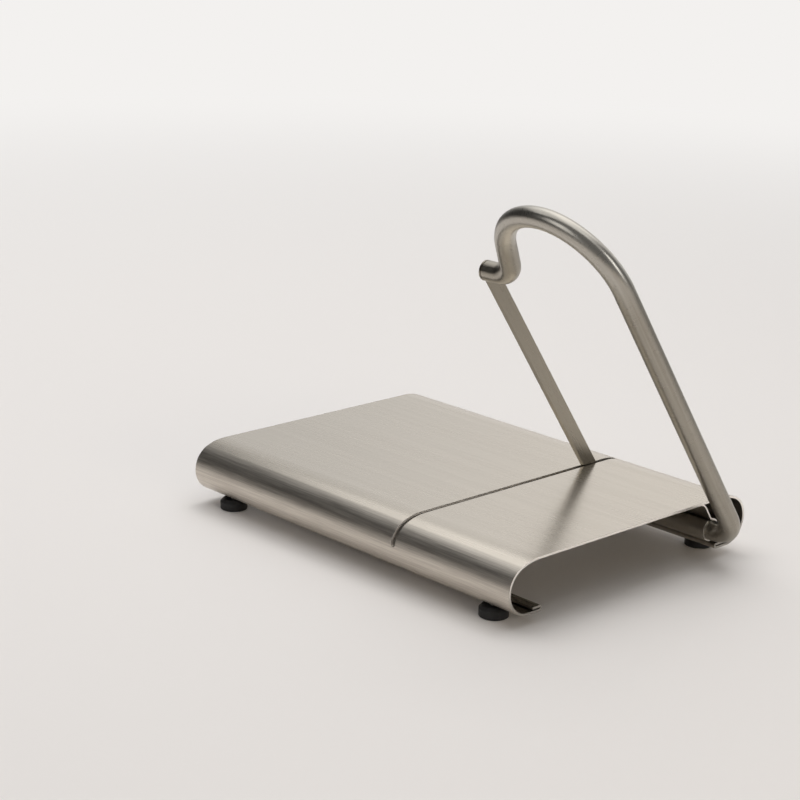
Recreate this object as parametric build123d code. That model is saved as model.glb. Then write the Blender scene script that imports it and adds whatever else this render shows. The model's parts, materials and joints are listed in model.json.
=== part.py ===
from build123d import *
from math import asin, atan2, cos, degrees, hypot, radians, sin, sqrt, tan
import os

# Guillotine cheese slicer: a folded stainless deck with a bent-rod lever and a strip blade.
# Sizes are in millimetres and angles in degrees. X runs along the folds, with the hinged arm at
# +X. The user stands at -Y, and the lever is hinged at +Y. Z is up from the table.

# Deck: one sheet with both long edges rolled under and hemmed
deck_length = 204.0
deck_depth = 152.0
sheet = 1.0
nose_radius = 11.4        # outside radius of the rolled edge
lead_radius = 26.5        # gentler bend that leads from the flat top into the rolled edge
lead_angle = 23.0
lip_flat = 7.3            # flat run under the roll, up to the hem
hem_gap = 0.6
hem_flange = 4.2
slot_width = 2.4
slot_front_drop = 11.8    # how far down the front roll the slot reaches
slot_rear_inset = 10.5    # from the rear face of the deck to the slot's end

# Feet: rubber buttons, each with a steel washer in its recess and a blind rivet
foot_diameter = 12.7
foot_height = 5.0
foot_chamfer = 1.3
foot_round = 0.5
foot_end_inset = 17.0
foot_edge_inset = 9.5
foot_floor = 2.4          # rubber left between the recess and the deck
recess_diameter = 8.0
washer_gauge = 0.8
rivet_shank = 3.2
rivet_head = 6.0
rivet_head_height = 0.8
rivet_tail = 4.6
rivet_tail_height = 2.2

# Hinge: a sheet leaf welded under the deck and rolled into a knuckle round the rod
leaf_sheet = 0.7
pivot_inset = 22.15       # from the rear face of the deck to the hinge axis
pivot_drop = 14.6         # from the deck's top face to the hinge axis
bracket_inset = 1.0       # from the deck's right end to the knuckle's end
knuckle_length = 60.0
leaf_flat = 16.0          # welded part of the leaf
leaf_run = 8.85           # from the end of the welded part to the hinge axis
leaf_bend_radius = 5.5    # inside, where the leaf turns down
neck_bend_radius = 1.0    # inside, where it turns back over the rod
knuckle_start = 85.0      # angle round the hinge axis where the roll begins
knuckle_turn = 328.0
running_fit = 0.05        # radial play of the rod in its knuckle
loose_fit = 0.1

# Lever: one round rod, bent in one plane, leaning towards the user at rest
rod_diameter = 9.0
arm_gap = 9.0             # from the deck's end to the arm's near side
lever_lean = 34.4
elbow_radius = 12.6
elbow_turn = 90.8
arm_straight = 136.0
shoulder_radius = 33.1    # first, wider part of the handle's bow
shoulder_turn = 56.0
bow_turn = 106.7          # second, tighter part of the bow
hook_straight = 12.1
hook_radius = 11.0
tip_straight = 6.6
rod_end_round = 0.5

# Blade: a strip laid across both end faces of the rod and riveted to them. Its end at the shaft is
# a half round, and its end at the tip is a round eye, flush with the rod
blade_width = 8.0
blade_gauge = 0.8
blade_lead_shaft = 1.0    # how far the cutting edge stands in front of the shaft's axis
blade_lead_tip = 3.0      # and in front of the tip's axis
bevel_width = 1.2
bevel_depth = 0.3
blade_rivet_shank = 2.4
blade_rivet_depth = 7.0   # into the rod
blade_rivet_head = 5.0
blade_rivet_head_height = 1.0
shaft_rivet_setback = 1.6 # from the shaft's axis back to its rivet

# Retaining clip and washer, on the shaft between the knuckle and the blade
clip_gauge = 0.9
clip_stand_off = 5.1      # shaft left between the clip and the blade
groove_depth = 0.9
clip_outer = 6.4
clip_band = 1.3
clip_opening = 80.0
prong_width = 2.2

# Places worked out from the sizes above
rod_radius = rod_diameter / 2
overall_length = deck_length + arm_gap + rod_diameter
deck_left = -overall_length / 2
deck_right = deck_left + deck_length
arm_x = deck_right + arm_gap + rod_radius
nose_y = deck_depth / 2 - nose_radius
roll_step = lead_radius - nose_radius
roll_height = 2 * nose_radius + roll_step * (1 - cos(radians(lead_angle)))
nose_z = foot_height + nose_radius
deck_top = foot_height + roll_height
pivot_y = deck_depth / 2 - pivot_inset
pivot_z = deck_top - pivot_drop
knuckle_left = deck_right - bracket_inset - knuckle_length
washer_x = knuckle_left - loose_fit - washer_gauge
clip_x = washer_x - loose_fit - clip_gauge
rod_end_x = clip_x - clip_stand_off
slot_x = rod_end_x - blade_gauge / 2


def run(start, heading, steps, side=0.0):
    """Edges of a path of straights and bends, drawn at a distance to its left.

    A straight is its length. A bend is its centre-line radius and its turn, left turns positive.
    Returns the edges, and the path's own end point.
    """
    point = Vector(*start)
    edges = []
    for step in steps:
        ahead = Vector(1, 0).rotate(Axis.Z, heading)
        left = Vector(0, 1).rotate(Axis.Z, heading)
        if isinstance(step, tuple):
            radius, turn = step
            hand = 1 if turn > 0 else -1
            centre = point + left * hand * radius
            edges.append(CenterArc(centre, radius - hand * side, heading - 90 * hand, turn))
            heading += turn
            point = centre - Vector(0, 1).rotate(Axis.Z, heading) * hand * radius
        else:
            end = point + ahead * step
            edges.append(Line(point + left * side, end + left * side))
            point = end
    return edges, point


def strip(start, heading, steps, gauge):
    """Section of a bent sheet of one gauge, whose middle follows a path."""
    left_side, _ = run(start, heading, steps, gauge / 2)
    right_side, _ = run(start, heading, steps, -gauge / 2)
    caps = [Line(left_side[0] @ 0, right_side[0] @ 0), Line(left_side[-1] @ 1, right_side[-1] @ 1)]
    return Face(Wire(left_side + right_side + caps))


def along_x(section, x_from, length):
    """A section drawn in Y and Z, carried along X."""
    return extrude(Plane.YZ.offset(x_from) * section, amount=length, dir=(1, 0, 0))


def foot_places():
    """Name, X and Y of each foot."""
    for end, x in (("left", deck_left + foot_end_inset), ("right", deck_right - foot_end_inset)):
        for edge, side in (("front", -1), ("rear", 1)):
            yield f"{edge}_{end}", x, side * (deck_depth / 2 - foot_edge_inset)


def upright(radius, low, high):
    """A plain vertical cylinder between two heights."""
    return Pos(0, 0, (low + high) / 2) * Cylinder(radius, high - low)


def make_deck():
    """The deck: half its section from the middle to the hem, mirrored, with slot and rivet holes."""
    flat_half = nose_y - roll_step * sin(radians(lead_angle))
    half = [
        flat_half,
        (lead_radius - sheet / 2, -lead_angle),
        (nose_radius - sheet / 2, lead_angle - 180),
        lip_flat,
        ((hem_gap + sheet) / 2, -180),
        hem_flange,
    ]
    rear = along_x(strip((0, deck_top - sheet / 2), 0, half, sheet), deck_left, deck_length)
    deck = rear + mirror(rear, Plane.XZ)

    # The slot has round ends: one on the flat at the rear, one low on the front roll
    slot_low = deck_top - slot_front_drop
    slot_rear = deck_depth / 2 - slot_rear_inset
    over = sheet
    front = -deck_depth / 2 - over
    rear_middle = slot_rear - slot_width / 2
    low_middle = slot_low + slot_width / 2
    cut = Pos(slot_x, (front + rear_middle) / 2, (low_middle + deck_top + over) / 2) * Box(
        slot_width, rear_middle - front, deck_top + over - low_middle
    )
    cut += Pos(slot_x, rear_middle, 0) * upright(slot_width / 2, low_middle, deck_top + over)
    roll_depth = 2 * nose_radius
    cut += Pos(slot_x, front + roll_depth / 2, low_middle) * Rot(90, 0, 0) * Cylinder(
        slot_width / 2, roll_depth
    )
    deck -= cut
    for _, x, y in foot_places():
        deck -= Pos(x, y, 0) * upright(rivet_shank / 2 + running_fit, foot_height - over, nose_z)
    return deck


def make_bracket():
    """The leaf and knuckle: two tangent bends lead from under the deck onto the roll."""
    leaf_z = deck_top - sheet - leaf_sheet / 2
    bend_y = pivot_y - leaf_run
    bend_r = leaf_bend_radius + leaf_sheet / 2
    neck_r = neck_bend_radius + leaf_sheet / 2
    roll_r = rod_radius + running_fit + leaf_sheet / 2
    start = radians(knuckle_start)
    across = pivot_y + (neck_r + roll_r) * cos(start) - bend_y
    down = pivot_z + (neck_r + roll_r) * sin(start) - (leaf_z - bend_r)
    reach = hypot(across, down)
    slope = degrees(atan2(down, across) - asin((bend_r + neck_r) / reach))
    steps = [
        leaf_flat,
        (bend_r, slope),
        sqrt(reach**2 - (bend_r + neck_r) ** 2),
        (neck_r, knuckle_start - 90 - slope),
        (roll_r, -knuckle_turn),
    ]
    section = strip((bend_y - leaf_flat, leaf_z), 0, steps, leaf_sheet)
    return along_x(section, knuckle_left, knuckle_length)


# The lever is drawn flat: X as in the part, Y out along the arm, and Z forward of the lever plane
lever_plane = Plane(
    origin=(0, pivot_y, pivot_z),
    x_dir=(1, 0, 0),
    z_dir=(0, -cos(radians(lever_lean)), -sin(radians(lever_lean))),
)
shoulder_end = elbow_turn + shoulder_turn
bow_end = shoulder_end + bow_turn
tip_heading = 180


def travel(radius, start, end):
    """How far a left bend carries the line along X, from one heading to another."""
    return radius * (sin(radians(end)) - sin(radians(start)))


def bow_radius():
    """Radius of the second part of the bow, which closes the run from the arm to the blade."""
    run_left = arm_x - elbow_radius + travel(elbow_radius, 0, elbow_turn)
    run_left += arm_straight * cos(radians(elbow_turn))
    run_left += travel(shoulder_radius, elbow_turn, shoulder_end)
    run_left += hook_straight * cos(radians(bow_end))
    run_left -= travel(hook_radius, bow_end, tip_heading)
    run_left -= tip_straight + rod_end_x
    return run_left / -travel(1, shoulder_end, bow_end)


def rod_steps():
    """Straights and bends of the lever's centre line, from the shaft's end to the tip."""
    return [
        arm_x - elbow_radius - rod_end_x,
        (elbow_radius, elbow_turn),
        arm_straight,
        (shoulder_radius, shoulder_turn),
        (bow_radius(), bow_turn),
        hook_straight,
        (hook_radius, tip_heading - bow_end),
        tip_straight,
    ]


rod_line, rod_tip = run((rod_end_x, 0), 0, rod_steps())
tip_out = rod_tip.Y       # distance of the tip's centre line from the hinge axis
blade_middle_shaft = blade_lead_shaft - blade_width / 2
blade_middle_tip = blade_lead_tip - blade_width / 2
rivet_places = {"shaft": (0, -shaft_rivet_setback), "tip": (tip_out, 0)}


def across_shaft(x):
    """Plane square to the shaft at x: its own X runs out along the arm, its own Y forward."""
    return Plane(origin=(x, 0, 0), x_dir=(0, 1, 0), z_dir=(1, 0, 0))


def make_rod():
    """The rod, with a blind rivet hole in each end face and a groove for the clip."""
    rod = sweep(across_shaft(rod_end_x) * Circle(rod_radius), path=Wire(rod_line))
    ends = rod.faces().filter_by(GeomType.PLANE).edges()
    rod = fillet(ends, rod_end_round)
    for place in rivet_places.values():
        hole = across_shaft(rod_end_x) * Pos(*place) * Circle(blade_rivet_shank / 2)
        rod -= extrude(hole, amount=blade_rivet_depth)
    groove = Circle(rod_radius + loose_fit) - Circle(rod_radius - groove_depth)
    rod -= extrude(across_shaft(clip_x - running_fit) * groove, amount=clip_gauge + 2 * running_fit)
    return rod


def make_blade():
    """The blade: a strip bevelled on both sides of its front, then its half round end and its eye."""
    skew = blade_middle_tip - blade_middle_shaft
    length = hypot(tip_out, skew)
    blade_plane = across_shaft(slot_x - blade_gauge / 2)
    strip_plane = blade_plane * Pos(0, blade_middle_shaft) * Rot(0, 0, degrees(atan2(skew, tip_out)))
    blade = extrude(strip_plane * Pos(length / 2, 0) * Rectangle(length, blade_width), amount=blade_gauge)
    front = blade.faces().sort_by(Axis.Z)[-1]
    long_edges = front.edges().sort_by(Edge.length)[-2:]
    blade = chamfer(long_edges, bevel_depth, bevel_width, reference=front)
    for out, forward, radius in ((0, blade_middle_shaft, blade_width / 2), (tip_out, 0, rod_radius)):
        blade += extrude(blade_plane * Pos(out, forward) * Circle(radius), amount=blade_gauge)
    for place in rivet_places.values():
        hole = blade_plane * Pos(*place) * Circle(blade_rivet_shank / 2 + running_fit)
        blade -= extrude(hole, amount=blade_gauge)
    return blade


def make_blade_rivet(place):
    """A solid rivet through the blade into the rod's end, with a low domed head outside."""
    blade_face = slot_x - blade_gauge / 2
    shank = across_shaft(blade_face) * Pos(*place) * Circle(blade_rivet_shank / 2)
    head_plane = across_shaft(blade_face - blade_rivet_head_height)
    head = extrude(head_plane * Pos(*place) * Circle(blade_rivet_head / 2), amount=blade_rivet_head_height)
    head = fillet(head.edges().group_by(Axis.X)[0], blade_rivet_head_height * 0.8)
    return head + extrude(shank, amount=blade_gauge + blade_rivet_depth)


def make_clip():
    """An E-clip: an open band with three prongs that reach the bottom of the groove."""
    inner = rod_radius - groove_depth
    band = Circle(clip_outer) - Circle(clip_outer - clip_band)
    mouth_out = 2 * clip_outer
    mouth_half = mouth_out * tan(radians(clip_opening / 2))
    section = band - make_face(Polyline((0, 0), (mouth_out, -mouth_half), (mouth_out, mouth_half), (0, 0)))
    prong_length = clip_outer - clip_band / 2 - inner + loose_fit
    prong_turn = clip_opening / 2 + degrees(atan2(prong_width, 2 * inner))
    for angle in (prong_turn, 180, -prong_turn):
        section += Rot(0, 0, angle) * Pos(inner - loose_fit + prong_length / 2, 0) * Rectangle(
            prong_length, prong_width
        )
    section -= Circle(inner + running_fit)
    return extrude(across_shaft(clip_x) * section, amount=clip_gauge)


def make_thrust_washer():
    """The washer between the clip and the knuckle."""
    ring = Circle(clip_outer) - Circle(rod_radius + loose_fit)
    return extrude(across_shaft(washer_x) * ring, amount=washer_gauge)


def make_foot():
    """A rubber button, recessed from below, on its own axis."""
    foot = upright(foot_diameter / 2, 0, foot_height)
    foot = chamfer(foot.edges().group_by(Axis.Z)[-1], foot_chamfer)
    foot = fillet(foot.edges().group_by(Axis.Z)[0], foot_round)
    foot -= upright(recess_diameter / 2, 0, foot_height - foot_floor)
    foot -= upright(rivet_shank / 2 + running_fit, 0, foot_height)
    return foot


def make_foot_washer():
    """The steel washer at the top of a foot's recess."""
    top = foot_height - foot_floor
    washer = upright(recess_diameter / 2 - loose_fit, top - washer_gauge, top)
    return washer - upright(rivet_shank / 2 + running_fit, 0, foot_height)


def make_rivet():
    """A blind rivet: domed head in the foot, shank, and the tail set inside the roll."""
    head_top = foot_height - foot_floor - washer_gauge
    tail_reach = deck_depth / 2 - foot_edge_inset + rivet_tail / 2 - nose_y
    tail_low = nose_z - sqrt((nose_radius - sheet) ** 2 - tail_reach**2)
    tail_high = tail_low + rivet_tail_height
    head = upright(rivet_head / 2, head_top - rivet_head_height, head_top)
    head = fillet(head.edges().group_by(Axis.Z)[0], rivet_head_height / 2)
    tail = upright(rivet_tail / 2, tail_low, tail_high)
    tail = fillet(tail.edges().group_by(Axis.Z)[-1], rivet_tail_height / 3)
    return head + upright(rivet_shank / 2, head_top - rivet_head_height / 2, tail_high) + tail


nodes = {
    "deck_sheet": make_deck(),
    "hinge_bracket": make_bracket(),
    "lever_rod": lever_plane * make_rod(),
    "blade": lever_plane * make_blade(),
    "blade_rivet_shaft": lever_plane * make_blade_rivet(rivet_places["shaft"]),
    "blade_rivet_tip": lever_plane * make_blade_rivet(rivet_places["tip"]),
    "retaining_clip": lever_plane * make_clip(),
    "thrust_washer": lever_plane * make_thrust_washer(),
}
for place, x, y in foot_places():
    nodes[f"foot_{place}"] = Pos(x, y, 0) * make_foot()
    nodes[f"foot_washer_{place}"] = Pos(x, y, 0) * make_foot_washer()
    nodes[f"foot_rivet_{place}"] = Pos(x, y, 0) * make_rivet()

os.makedirs("parts", exist_ok=True)
for name, shape in nodes.items():
    export_step(shape, f"parts/{name}.step")
print(f"deck top {deck_top:.2f}, hinge axis y {pivot_y:.2f} z {pivot_z:.2f}, blade x {slot_x:.2f}")
print(f"bow radius {bow_radius():.2f}, tip out {tip_out:.2f}, rod ends x {rod_end_x:.2f}")
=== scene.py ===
"""Guillotine cheese slicer: finishes, floor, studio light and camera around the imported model.

Lengths are in metres, in the frame of the CAD, apart from the lever's, which are in millimetres
until its mesh is made. X runs along the rolled edges with the hinged arm at +X, the user stands
at -Y, the hinge is at +Y, and the table is at Z = 0.
"""
import json

import bmesh
import bpy
import numpy as np
from mathutils import Matrix, Vector


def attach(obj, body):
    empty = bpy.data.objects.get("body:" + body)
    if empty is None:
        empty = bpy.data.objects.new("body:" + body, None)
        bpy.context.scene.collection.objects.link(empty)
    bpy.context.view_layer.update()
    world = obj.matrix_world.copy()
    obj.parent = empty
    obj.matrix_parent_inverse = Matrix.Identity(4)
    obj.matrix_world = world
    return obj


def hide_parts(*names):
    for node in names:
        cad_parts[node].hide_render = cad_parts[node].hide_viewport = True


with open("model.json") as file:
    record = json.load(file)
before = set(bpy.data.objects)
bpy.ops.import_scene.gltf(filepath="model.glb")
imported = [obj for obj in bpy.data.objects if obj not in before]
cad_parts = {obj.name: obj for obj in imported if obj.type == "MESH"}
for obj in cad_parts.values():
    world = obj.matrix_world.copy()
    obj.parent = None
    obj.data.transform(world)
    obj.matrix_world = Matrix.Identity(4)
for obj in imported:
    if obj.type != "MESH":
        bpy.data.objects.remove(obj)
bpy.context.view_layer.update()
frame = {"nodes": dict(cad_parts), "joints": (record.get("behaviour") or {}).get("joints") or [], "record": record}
mm = 0.001

# The lever, in millimetres and degrees, as in the CAD
hinge = np.array(frame["joints"][0]["pos_m"]) / mm
rod_radius = 4.5
rod_end_round = 0.5
rod_end_x = 25.0
arm_x = 106.5
lever_lean = 34.4
elbow_radius = 12.6
elbow_turn = 90.8
arm_straight = 136.0
shoulder_radius = 33.1
shoulder_turn = 56.0
bow_radius = 29.24
bow_turn = 106.7
hook_straight = 12.1
hook_radius = 11.0
tip_straight = 6.6
rod_steps = [
    arm_x - elbow_radius - rod_end_x,
    (elbow_radius, elbow_turn),
    arm_straight,
    (shoulder_radius, shoulder_turn),
    (bow_radius, bow_turn),
    hook_straight,
    (hook_radius, 180 - elbow_turn - shoulder_turn - bow_turn),
    tip_straight,
]
lean = np.radians(lever_lean)
side_way = np.array([1.0, 0.0, 0.0])
out_way = np.array([0.0, -np.sin(lean), np.cos(lean)])
forward_way = np.array([0.0, -np.cos(lean), -np.sin(lean)])

# How finely the rod's mesh is drawn
straight_points = 9
bend_step = 2.5
end_rings = 7
ring_points = 64

# Settings and ranges that many nodes share. Most of a noise lies from 0.3 to 0.7
smooth = {"interpolation_type": "SMOOTHSTEP"}
coloured = {"data_type": "RGBA"}
most_of_noise = {"From_Min": 0.3, "From_Max": 0.7}


def colour(hex_text):
    """A colour written as sRGB hex, as the linear values that a shader takes."""
    srgb = np.array([int(hex_text[i:i + 2], 16) for i in (1, 3, 5)]) / 255
    linear = np.where(srgb <= 0.04045, srgb / 12.92, ((srgb + 0.055) / 1.055) ** 2.4)
    return (*linear, 1.0)


def result(node):
    """The first of a node's outputs that is in use."""
    return next(output for output in node.outputs if output.enabled)


def add_node(tree, kind, settings=None, **inputs):
    """Adds a node with its settings and links. An input is named, with _ for a space, or numbered,
    as _0. It takes a value, another node's output, or a node, which stands for its result."""
    node = tree.nodes.new("ShaderNode" + kind)
    for name, value in (settings or {}).items():
        setattr(node, name, value)
    for name, value in inputs.items():
        socket = node.inputs[int(name[1:]) if name[0] == "_" else name.replace("_", " ")]
        if isinstance(value, bpy.types.Node):
            value = result(value)
        if isinstance(value, bpy.types.NodeSocket):
            tree.links.new(value, socket)
        else:
            socket.default_value = value
    return node


def new_material(name):
    """An empty node material, with its tree and its shader."""
    material = bpy.data.materials.new(name)
    material.use_nodes = True
    tree = material.node_tree
    return material, tree, tree.nodes["Principled BSDF"]


def grain(tree, place, sizes, detail=2.0, roughness=0.5):
    """Scratches, streaks or specks: soft noise from 0 to 1, one feature to each of the sizes along
    X, Y and Z."""
    scaled = add_node(tree, "Mapping", Vector=place, Scale=tuple(1 / np.array(sizes)))
    return add_node(tree, "TexNoise", Vector=scaled, Scale=1.0, Detail=detail, Roughness=roughness)


def brushed_sheet():
    """Stainless sheet, belt brushed along the folds, duller and coarser where it is rolled. The
    scratches are 0.1 mm or finer, too fine to show, so they are drawn 0.45 mm wide. Cut edges are
    deburred and rounded. Their colour is a painted highlight towards the top and painted shade
    lower down, where the floor beside them is in shadow. The inner side, whose normal points back
    to the middle of the deck's profile, isn't brushed and keeps a greyer mill finish. Its darker
    colour is also painted shade inside the rolls and under the deck."""
    material, tree, shader = new_material("belt brushed stainless sheet")
    shader.inputs["Metallic"].default_value = 1
    shader.inputs["Anisotropic"].default_value = 0.55
    profile_middle = (0, 0, 17 * mm)
    roll_to_flat = {"From_Min": 0.80, "From_Max": 0.99}
    coordinates = add_node(tree, "TexCoord").outputs
    place, normal = coordinates["Object"], coordinates["Normal"]
    scratches = grain(tree, place, (30 * mm, 0.45 * mm, 0.45 * mm), 3.0, 0.7)
    streaks = grain(tree, place, (120 * mm, 2.5 * mm, 2.5 * mm))
    cloud = grain(tree, place, (40 * mm, 25 * mm, 25 * mm))
    facing = add_node(tree, "VectorMath", {"operation": "ABSOLUTE"}, _0=normal)
    facing = add_node(tree, "SeparateXYZ", Vector=facing).outputs

    # Even streaks on the flat top, and combed scratches on the rolls
    streak = add_node(tree, "MapRange", smooth, Value=streaks, **most_of_noise)
    tone = add_node(tree, "Mix", coloured, _0=streak, _6=colour("#D0C8BC"), _7=colour("#D4CCC0"))
    scratch = add_node(tree, "MapRange", smooth, Value=scratches, From_Min=0.35, From_Max=0.65)
    combed = add_node(tree, "Mix", coloured, _0=scratch, _6=colour("#C4BCB2"), _7=colour("#DDD6CB"))
    rolled = add_node(
        tree, "MapRange", smooth, Value=facing["Z"], **roll_to_flat, To_Min=1.0, To_Max=0.0
    )
    tone = add_node(tree, "Mix", coloured, _0=rolled, _6=tone, _7=combed)

    # The unbrushed inner side: its greyer mill finish, darkened as painted shade inside the rolls and under the
    # deck
    outward = add_node(tree, "VectorMath", {"operation": "SUBTRACT"}, _0=place, _1=profile_middle)
    outward = add_node(tree, "VectorMath", {"operation": "MULTIPLY"}, _0=outward, _1=(0, 1, 1))
    outward = add_node(tree, "VectorMath", {"operation": "DOT_PRODUCT"}, _0=outward, _1=normal)
    inner = add_node(
        tree, "MapRange", smooth,
        Value=outward, From_Min=-3 * mm, From_Max=-1 * mm, To_Min=1.0, To_Max=0.0,
    )
    tone = add_node(tree, "Mix", coloured, _0=inner, _6=tone, _7=colour("#B6B0A6"))

    # The cut edges at the ends: a painted highlight towards the top, painted shade lower down
    height = add_node(tree, "SeparateXYZ", Vector=place).outputs["Z"]
    edge_light_by_height = add_node(tree, "MapRange", smooth, Value=height, From_Min=6 * mm, From_Max=27 * mm)
    pale = add_node(tree, "Mix", coloured, _0=edge_light_by_height, _6=colour("#A39E96"), _7=colour("#FDF8F0"))
    edge = add_node(tree, "MapRange", smooth, Value=facing["X"], From_Min=0.9, From_Max=0.95)
    tone = add_node(tree, "Mix", coloured, _0=edge, _6=tone, _7=pale)
    tree.links.new(result(tone), shader.inputs["Base Color"])

    # How dull it is, and how deep the scratches are
    worn = add_node(
        tree, "MapRange", smooth, Value=cloud, **most_of_noise, To_Min=0.23, To_Max=0.245
    )
    coarse = add_node(
        tree, "MapRange", smooth, Value=facing["Z"], **roll_to_flat, To_Min=0.27, To_Max=0.06
    )
    rough = add_node(tree, "Math", {"operation": "MULTIPLY_ADD"}, _0=scratches, _1=coarse, _2=worn)
    tree.links.new(result(rough), shader.inputs["Roughness"])
    rounded = add_node(tree, "Bevel", {"samples": 4}, Radius=0.25 * mm)
    depth = add_node(
        tree, "MapRange", smooth, Value=facing["Z"], **roll_to_flat, To_Min=0.25, To_Max=0.03
    )
    bump = add_node(
        tree, "Bump", Strength=depth, Distance=0.02 * mm, Height=scratches, Normal=rounded
    )
    tree.links.new(result(bump), shader.inputs["Normal"])

    # The scratches stretch the highlights across them. On the cut ends the cross product
    # vanishes, so a small vector is added
    turned = add_node(tree, "NewGeometry").outputs["Normal"]
    across = add_node(tree, "VectorMath", {"operation": "CROSS_PRODUCT"}, _0=turned, _1=(1, 0, 0))
    across = add_node(tree, "VectorMath", {"operation": "ADD"}, _0=across, _1=(0, 0.01, 0.01))
    tree.links.new(result(across), shader.inputs["Tangent"])
    return material


def satin_rod():
    """Stainless round bar, satin ground with the belt laid round it, and lighter along the grip,
    which is rubbed by the hand. It reads the rod's own straightened place, whose X is the run
    from the shaft's end. The scratches, too fine to show at their own size, are drawn 0.4 mm
    wide."""
    material, tree, shader = new_material("satin ground stainless bar")
    shader.inputs["Metallic"].default_value = 1
    shader.inputs["Anisotropic"].default_value = 0.6
    place = add_node(tree, "Attribute", {"attribute_name": "grain"}).outputs["Vector"]
    scratches = grain(tree, place, (0.4 * mm, 6 * mm, 6 * mm), 3.0, 0.7)
    streaks = grain(tree, place, (60 * mm, 1.5 * mm, 1.5 * mm))
    along = add_node(tree, "SeparateXYZ", Vector=place).outputs["X"]
    grip_start = {"From_Min": 210 * mm, "From_Max": 240 * mm}
    grip_end = {"From_Min": 298 * mm, "From_Max": 318 * mm}
    past_start = add_node(tree, "MapRange", smooth, Value=along, **grip_start)
    before_end = add_node(
        tree, "MapRange", smooth, Value=along, **grip_end, To_Min=1.0, To_Max=0.0
    )
    rubbed = add_node(tree, "Math", {"operation": "MULTIPLY"}, _0=past_start, _1=before_end)
    streak = add_node(tree, "MapRange", smooth, Value=streaks, **most_of_noise)
    satin = add_node(tree, "Mix", coloured, _0=streak, _6=colour("#9F998E"), _7=colour("#AAA499"))
    shiny = add_node(tree, "Mix", coloured, _0=streak, _6=colour("#B5B0A7"), _7=colour("#C0BCB3"))
    tone = add_node(tree, "Mix", coloured, _0=rubbed, _6=satin, _7=shiny)
    tree.links.new(result(tone), shader.inputs["Base Color"])
    rough = add_node(tree, "Math", {"operation": "MULTIPLY_ADD"}, _0=scratches, _1=0.12, _2=0.23)
    tree.links.new(result(rough), shader.inputs["Roughness"])
    axis = add_node(
        tree, "VectorTransform", {"convert_from": "OBJECT", "convert_to": "WORLD"},
        Vector=add_node(tree, "Attribute", {"attribute_name": "axis"}).outputs["Vector"],
    )
    tree.links.new(result(axis), shader.inputs["Tangent"])
    bump = add_node(tree, "Bump", Strength=0.2, Distance=0.02 * mm, Height=scratches)
    tree.links.new(result(bump), shader.inputs["Normal"])
    return material


def ground_strip():
    """Stainless strip, ground along its length, which leans with the lever. The scratches, too
    fine to show at their own size, are drawn 0.4 mm wide."""
    material, tree, shader = new_material("ground stainless strip")
    shader.inputs["Metallic"].default_value = 1
    place = add_node(tree, "TexCoord").outputs["Object"]
    upright = add_node(tree, "Mapping", Vector=place, Rotation=(-lean, 0, 0))
    scratches = grain(tree, upright, (0.4 * mm, 0.4 * mm, 20 * mm), 3.0, 0.7)
    tone = add_node(
        tree, "Mix", coloured, _0=scratches, _6=colour("#9E978A"), _7=colour("#A39C8F")
    )
    tree.links.new(result(tone), shader.inputs["Base Color"])
    rough = add_node(tree, "Math", {"operation": "MULTIPLY_ADD"}, _0=scratches, _1=0.06, _2=0.25)
    tree.links.new(result(rough), shader.inputs["Roughness"])
    bump = add_node(tree, "Bump", Strength=0.1, Distance=0.02 * mm, Height=scratches)
    tree.links.new(result(bump), shader.inputs["Normal"])
    return material


def plain_fixings():
    """Small stainless fixings, tumbled: an even, slightly dull shine. Their pits, too fine to
    show at their own size, are drawn two thirds of a millimetre wide."""
    material, tree, shader = new_material("tumbled stainless fixings")
    shader.inputs["Metallic"].default_value = 1
    place = add_node(tree, "TexCoord").outputs["Object"]
    pits = grain(tree, place, np.full(3, mm * 2 / 3))
    tone = add_node(tree, "Mix", coloured, _0=pits, _6=colour("#B9B5AE"), _7=colour("#CDC9C2"))
    tree.links.new(result(tone), shader.inputs["Base Color"])
    rough = add_node(
        tree, "MapRange", smooth,
        Value=pits, From_Min=0.2, From_Max=0.8, To_Min=0.26, To_Max=0.40,
    )
    tree.links.new(result(rough), shader.inputs["Roughness"])
    return material


def moulded_rubber():
    """Black rubber from a mould: matt, with a fine grain, drawn 0.4 mm wide so that it shows, and
    a little pale dust in patches of about 3 mm."""
    material, tree, shader = new_material("moulded black rubber")
    place = add_node(tree, "TexCoord").outputs["Object"]
    skin = grain(tree, place, np.full(3, 0.4 * mm))
    dust = grain(tree, place, np.full(3, mm * 10 / 3), 4.0)
    dusty = add_node(tree, "MapRange", smooth, Value=dust, From_Min=0.45, From_Max=0.75)
    tone = add_node(tree, "Mix", coloured, _0=dusty, _6=colour("#131314"), _7=colour("#222121"))
    tree.links.new(result(tone), shader.inputs["Base Color"])
    rough = add_node(
        tree, "MapRange", smooth, Value=dust, **most_of_noise, To_Min=0.42, To_Max=0.6
    )
    tree.links.new(result(rough), shader.inputs["Roughness"])
    bump = add_node(tree, "Bump", Strength=0.3, Distance=0.05 * mm, Height=skin)
    tree.links.new(result(bump), shader.inputs["Normal"])
    return material


def finish_nodes(by_slot):
    """Gives each CAD node the material of its slot."""
    for part in frame["record"]["subparts"]:
        node = frame["nodes"][part["node"]]
        node.data.materials.clear()
        node.data.materials.append(by_slot[part["material_slot"]])


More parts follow.
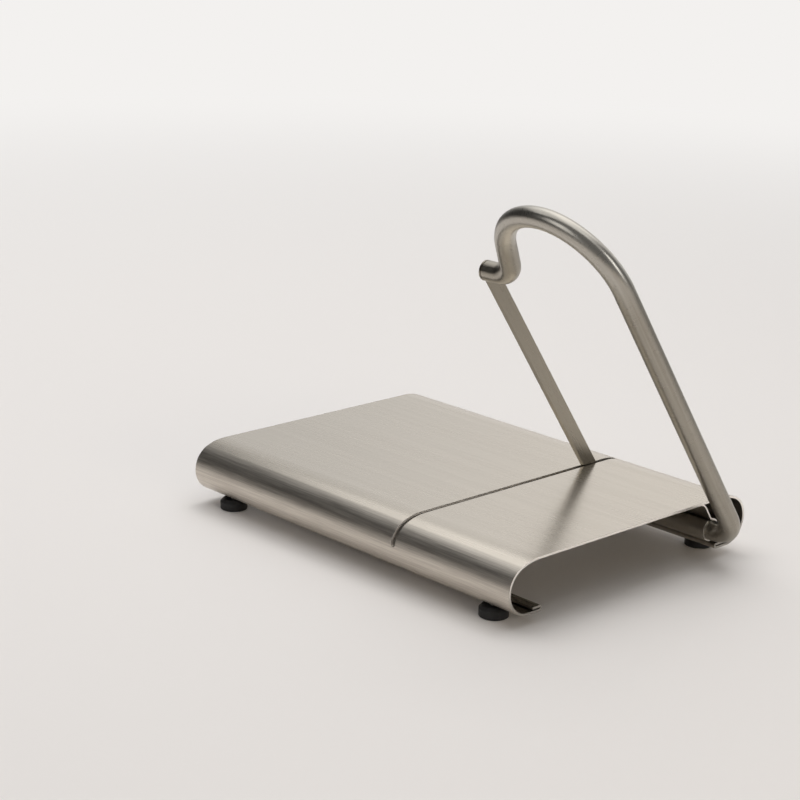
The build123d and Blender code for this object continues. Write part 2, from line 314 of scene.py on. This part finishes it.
def rod_line():
    """The rod's middle line, drawn flat: places (X, out along the arm), headings and run so far.

    A straight is evenly spaced points. A bend of radius r turns the heading by equal steps: each
    point is the bend's centre minus its own left side times r, for a left turn.
    """
    heading = 0.0
    point = np.array([rod_end_x, 0.0])
    run = 0.0
    points, headings, runs = [], [], []
    for step in rod_steps:
        if isinstance(step, tuple):
            radius, turn = step
            turn = np.radians(turn)
            share = np.linspace(0, 1, int(abs(turn) / np.radians(bend_step)) + 2)[:, None]
            turns = heading + share * turn
            hand = np.sign(turn)
            left = np.hstack([-np.sin(turns), np.cos(turns)])
            bend = point + hand * radius * (left[0] - left)
            points.append(bend)
            headings.append(turns[:, 0])
            runs.append(run + share[:, 0] * abs(turn) * radius)
            heading += turn
            point = bend[-1]
            run += abs(turn) * radius
        else:
            ahead = np.array([np.cos(heading), np.sin(heading)])
            share = np.linspace(0, 1, straight_points)[:, None]
            points.append(point + share * step * ahead)
            headings.append(np.full(straight_points, heading))
            runs.append(run + share[:, 0] * step)
            point = points[-1][-1]
            run += step
    points, headings, runs = np.vstack(points), np.hstack(headings), np.hstack(runs)

    # The first point of each step repeats the last point of the step before, and is left out
    fresh = np.append(True, np.diff(runs) > 1e-6)
    return points[fresh], headings[fresh], runs[fresh]


def make_rod():
    """The rod: rings round its middle line, closed by rounded ends.

    Point (run, angle) = middle + radius * (cos angle * left of the line + sin angle * forward).
    At the ends the radius falls along a quarter circle of rod_end_round, then to nothing.
    """
    points, headings, runs = rod_line()
    total = runs[-1]
    quarter = np.radians(np.linspace(0, 90, end_rings))
    fall = rod_end_round * (1 - np.sin(quarter))
    narrow = rod_radius - rod_end_round * (1 - np.cos(quarter))
    end_runs = np.append(0, fall[::-1])
    end_radii = np.append(0, narrow[::-1])
    inside = (runs > rod_end_round) & (runs < total - rod_end_round)
    all_runs = np.hstack([end_runs, runs[inside], total - end_runs[::-1]])
    radii = np.hstack([end_radii, np.full(inside.sum(), rod_radius), end_radii[::-1]])
    x = np.interp(all_runs, runs, points[:, 0])
    out = np.interp(all_runs, runs, points[:, 1])
    heading = np.interp(all_runs, runs, headings)
    middle = hinge + np.outer(x, side_way) + np.outer(out, out_way)
    left = np.outer(-np.sin(heading), side_way) + np.outer(np.cos(heading), out_way)
    angle = np.linspace(0, 2 * np.pi, ring_points, endpoint=False)
    ring = np.cos(angle)[None, :, None] * left[:, None, :]
    ring = ring + np.sin(angle)[None, :, None] * forward_way
    places = middle[:, None, :] + radii[:, None, None] * ring
    straight = np.stack([
        np.broadcast_to(all_runs[:, None], places.shape[:2]),
        radii[:, None] * np.cos(angle),
        radii[:, None] * np.sin(angle),
    ], axis=2)
    axis = np.outer(np.cos(heading), side_way) + np.outer(np.sin(heading), out_way)
    axis = np.broadcast_to(axis[:, None, :], places.shape)
    piece = surface("rod", places * mm)
    for name, values in (("grain", straight * mm), ("axis", axis)):
        attribute = piece.data.attributes.new(name, "FLOAT_VECTOR", "POINT")
        attribute.data.foreach_set("vector", values.astype(np.float32).ravel())
    close_poles(piece)
    return piece


def surface(name, places):
    """A mesh from a grid of places whose second way closes on itself."""
    rows, columns = places.shape[:2]
    row, column = np.meshgrid(np.arange(rows - 1), np.arange(columns), indexing="ij")
    beside = (column + 1) % columns
    faces = np.stack([
        row * columns + column,
        (row + 1) * columns + column,
        (row + 1) * columns + beside,
        row * columns + beside,
    ], axis=2)
    mesh = bpy.data.meshes.new(name)
    mesh.from_pydata(places.reshape(-1, 3), [], faces.reshape(-1, 4).tolist())
    piece = bpy.data.objects.new(name, mesh)
    bpy.context.scene.collection.objects.link(piece)
    return piece


def close_poles(piece):
    """Merges the points that meet at the poles, turns every face outwards and shades it smooth."""
    shape = bmesh.new()
    shape.from_mesh(piece.data)
    bmesh.ops.remove_doubles(shape, verts=shape.verts, dist=1e-7)
    bmesh.ops.recalc_face_normals(shape, faces=shape.faces)
    shape.to_mesh(piece.data)
    shape.free()
    piece.data.shade_smooth()


def place_camera():
    """The photograph's viewpoint, found from the deck's edges and folds."""
    azimuth, elevation, roll = np.radians([46.355, 16.381, 1.641])
    viewpoint = (0.6129, -0.6352, 0.3207)
    ahead = np.array([
        -np.sin(azimuth) * np.cos(elevation),
        np.cos(azimuth) * np.cos(elevation),
        -np.sin(elevation),
    ])
    level = np.array([np.cos(azimuth), np.sin(azimuth), 0])
    upright = np.cross(level, ahead)
    right = level * np.cos(roll) + upright * np.sin(roll)
    up = upright * np.cos(roll) - level * np.sin(roll)
    data = bpy.data.cameras.new("camera")
    data.lens = 91.95
    data.clip_end = 20
    camera = bpy.data.objects.new("camera", data)
    turn = Matrix(np.column_stack([right, up, -ahead]).tolist()).to_4x4()
    camera.matrix_world = Matrix.Translation(viewpoint) @ turn
    bpy.context.scene.collection.objects.link(camera)
    bpy.context.scene.camera = camera


def lay_floor():
    """A pale matt table. Past the shadow it turns to the background's own pale tone, so that no
    far edge shows. In the metal its far part is dim, as a table that ends in a dim room."""
    reach = 12.0
    corners = [(-reach, -reach, 0), (reach, -reach, 0), (reach, reach, 0), (-reach, reach, 0)]
    mesh = bpy.data.meshes.new("table")
    mesh.from_pydata(corners, [], [(0, 1, 2, 3)])
    table = bpy.data.objects.new("table", mesh)
    bpy.context.scene.collection.objects.link(table)
    material, tree, shader = new_material("white laminate")
    shader.inputs["Base Color"].default_value = colour("#E6E2DF")
    shader.inputs["Roughness"].default_value = 0.6
    shader.inputs["Specular IOR Level"].default_value = 0.2
    place = add_node(tree, "TexCoord").outputs["Object"]
    away = add_node(tree, "VectorMath", {"operation": "LENGTH"}, _0=place)
    far = add_node(tree, "MapRange", smooth, Value=away, From_Min=0.32, From_Max=1.4)
    ray = add_node(tree, "LightPath").outputs
    camera_ray, glossy_ray = ray["Is Camera Ray"], ray["Is Glossy Ray"]
    seen = add_node(tree, "Math", {"operation": "MAXIMUM"}, _0=camera_ray, _1=glossy_ray)
    share = add_node(tree, "Math", {"operation": "MULTIPLY"}, _0=far, _1=seen)
    ends = add_node(
        tree, "Mix", coloured, _0=camera_ray, _6=colour("#8E8B88"), _7=colour("#F3F1EF")
    )
    plain = add_node(tree, "Emission", Color=ends)
    mixed = add_node(tree, "MixShader", _0=share, _1=shader, _2=plain)
    tree.links.new(result(mixed), tree.nodes["Material Output"].inputs["Surface"])
    mesh.materials.append(material)


def soft_light(
    name, place, aim, width, depth, level, turn=0, glossy=True, diffuse=True, tint="#FFFFFF"
):
    """A large soft lamp, turned about its aim. Its brightness goes with its level, whatever its
    size. It may be kept out of the reflections or off the matt surfaces."""
    data = bpy.data.lights.new(name, "AREA")
    data.shape = "RECTANGLE"
    data.size = width
    data.size_y = depth
    data.energy = level * np.pi * width * depth
    data.color = colour(tint)[:3]
    lamp = bpy.data.objects.new(name, data)
    lamp.visible_camera = False
    lamp.visible_glossy = glossy
    lamp.visible_diffuse = diffuse
    facing = (Vector(aim) - Vector(place)).to_track_quat("-Z", "Y").to_matrix().to_4x4()
    spin = Matrix.Rotation(np.radians(turn), 4, "Z")
    lamp.matrix_world = Matrix.Translation(place) @ facing @ spin
    bpy.context.scene.collection.objects.link(lamp)


def hang_lamps():
    """Three lamps that the metal mirrors: a wide softbox above, a panel in front, and a narrow
    strip at the right, which lights metal alone. The others are kept out of the reflections. The
    low fill from the right reaches under the deck, and is as warm as the shade is there."""
    middle = (0, 0, 0)
    soft_light("softbox above", (-0.28, 0.37, 1.5), (-0.28, 0.37, 0), 2.4, 2.0, 0.95, turn=25)
    soft_light("lamp above", (-0.12, 0.49, 1.4), middle, 0.6, 0.45, 2.4, glossy=False)
    soft_light("panel in front", (0.08, -1.4, 0.82), middle, 0.9, 0.75, 1.2)
    soft_light("strip at the right", (1.4, 0.54, 0.6), middle, 0.4, 0.8, 2.5, diffuse=False)
    soft_light("fill from the left", (-0.75, -0.15, 1.1), middle, 1.3, 1.3, 1.1, glossy=False)
    soft_light(
        "fill from the right", (1.2, -0.2, 0.22), (0, 0, 0.02), 0.7, 0.4, 4.8,
        glossy=False, tint="#FFF2DE",
    )


def paint_walls():
    """The room, as a world whose light depends on the way round only: dim walls, brighter behind
    to the left and darker in front to the left. The camera sees a plain pale background all
    round. Metal and glass see it too, where the bright wall stands, and dim walls elsewhere."""
    bright_way = (-0.423, 0.906, 0.0)
    dark_way = (-0.80, -0.60, 0.0)
    world = bpy.data.worlds.new("studio")
    bpy.context.scene.world = world
    world.use_nodes = True
    tree = world.node_tree
    way = add_node(tree, "TexCoord").outputs["Generated"]
    way = add_node(tree, "VectorMath", {"operation": "MULTIPLY"}, _0=way, _1=(1, 1, 0))
    way = add_node(tree, "VectorMath", {"operation": "NORMALIZE"}, _0=way)
    to_bright = add_node(tree, "VectorMath", {"operation": "DOT_PRODUCT"}, _0=way, _1=bright_way)
    to_dark = add_node(tree, "VectorMath", {"operation": "DOT_PRODUCT"}, _0=way, _1=dark_way)
    dim = add_node(
        tree, "MapRange", smooth,
        Value=to_dark, From_Min=0.55, From_Max=0.90, To_Min=0.18, To_Max=0.03,
    )
    bright = add_node(
        tree, "MapRange", smooth, Value=to_bright, From_Min=0.62, From_Max=0.98, To_Max=0.60
    )
    wall = add_node(tree, "Math", {"operation": "ADD"}, _0=dim, _1=bright)
    grey = add_node(tree, "CombineColor", Red=wall, Green=wall, Blue=wall)
    behind = add_node(tree, "MapRange", smooth, Value=to_bright, From_Min=0.91, From_Max=0.98)
    ray = add_node(tree, "LightPath").outputs
    glossy_ray, clear_ray = ray["Is Glossy Ray"], ray["Is Transmission Ray"]
    mirrored = add_node(tree, "Math", {"operation": "MAXIMUM"}, _0=glossy_ray, _1=clear_ray)
    mirrored = add_node(tree, "Math", {"operation": "MULTIPLY"}, _0=mirrored, _1=behind)
    pale = add_node(
        tree, "Math", {"operation": "MAXIMUM"}, _0=ray["Is Camera Ray"], _1=mirrored
    )
    seen = add_node(tree, "Mix", coloured, _0=pale, _6=grey, _7=colour("#F3F1EF"))
    tree.links.new(result(seen), tree.nodes["Background"].inputs["Color"])


steel_sheet = brushed_sheet()
steel_rod = satin_rod()
finish_nodes({
    "sheet_steel": steel_sheet,
    "rod_steel": steel_rod,
    "blade_steel": ground_strip(),
    "fastener_steel": plain_fixings(),
    "foot_rubber": moulded_rubber(),
})
rod = make_rod()
rod.data.materials.append(steel_rod)
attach(rod, "lever")
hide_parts("lever_rod")
place_camera()
lay_floor()
hang_lamps()
paint_walls()
bpy.context.scene.view_settings.view_transform = "Standard"

bpy.context.view_layer.update()
